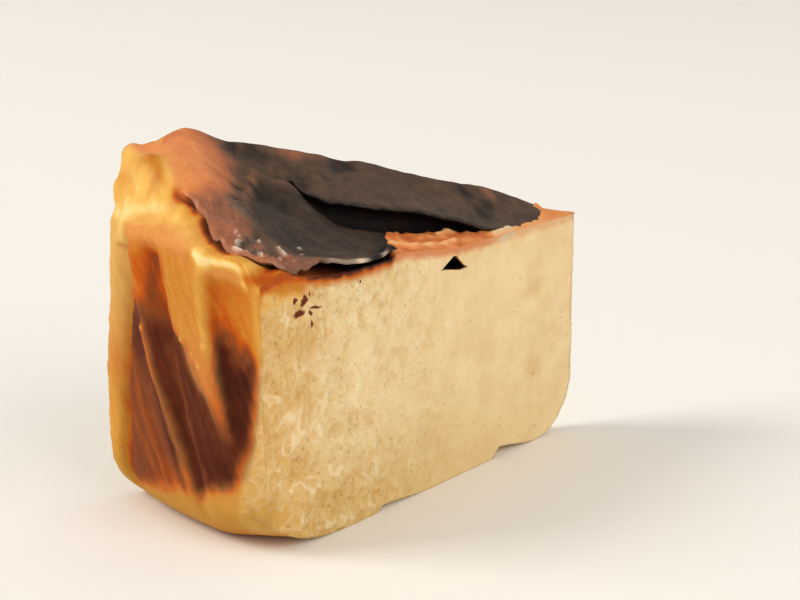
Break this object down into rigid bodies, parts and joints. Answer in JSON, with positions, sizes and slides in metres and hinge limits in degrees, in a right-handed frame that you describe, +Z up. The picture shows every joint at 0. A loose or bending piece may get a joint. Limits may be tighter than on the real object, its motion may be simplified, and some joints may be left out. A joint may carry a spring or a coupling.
{
  "type": "basque cheesecake slice",
  "caption": "Wedge-shaped slice of baked cheesecake with a burnt, cracked top skin, a pleated browned rim and pale cut faces, standing on its flat base.",
  "frame": {"origin": "centre of the bounding box's bottom face, on the surface the slice stands on", "axes": "+X from the browned rim to the tip, +Z up, +Y towards the higher far cut"},
  "size_m": [0.1008, 0.0478, 0.0703],
  "materials": {
    "baked_cheese": "matte, crumbly pale cut faces with a browned rim"
  },
  "bodies": {
    "root": {"cheesecake_slice": "baked_cheese"}
  },
  "joints": []
}
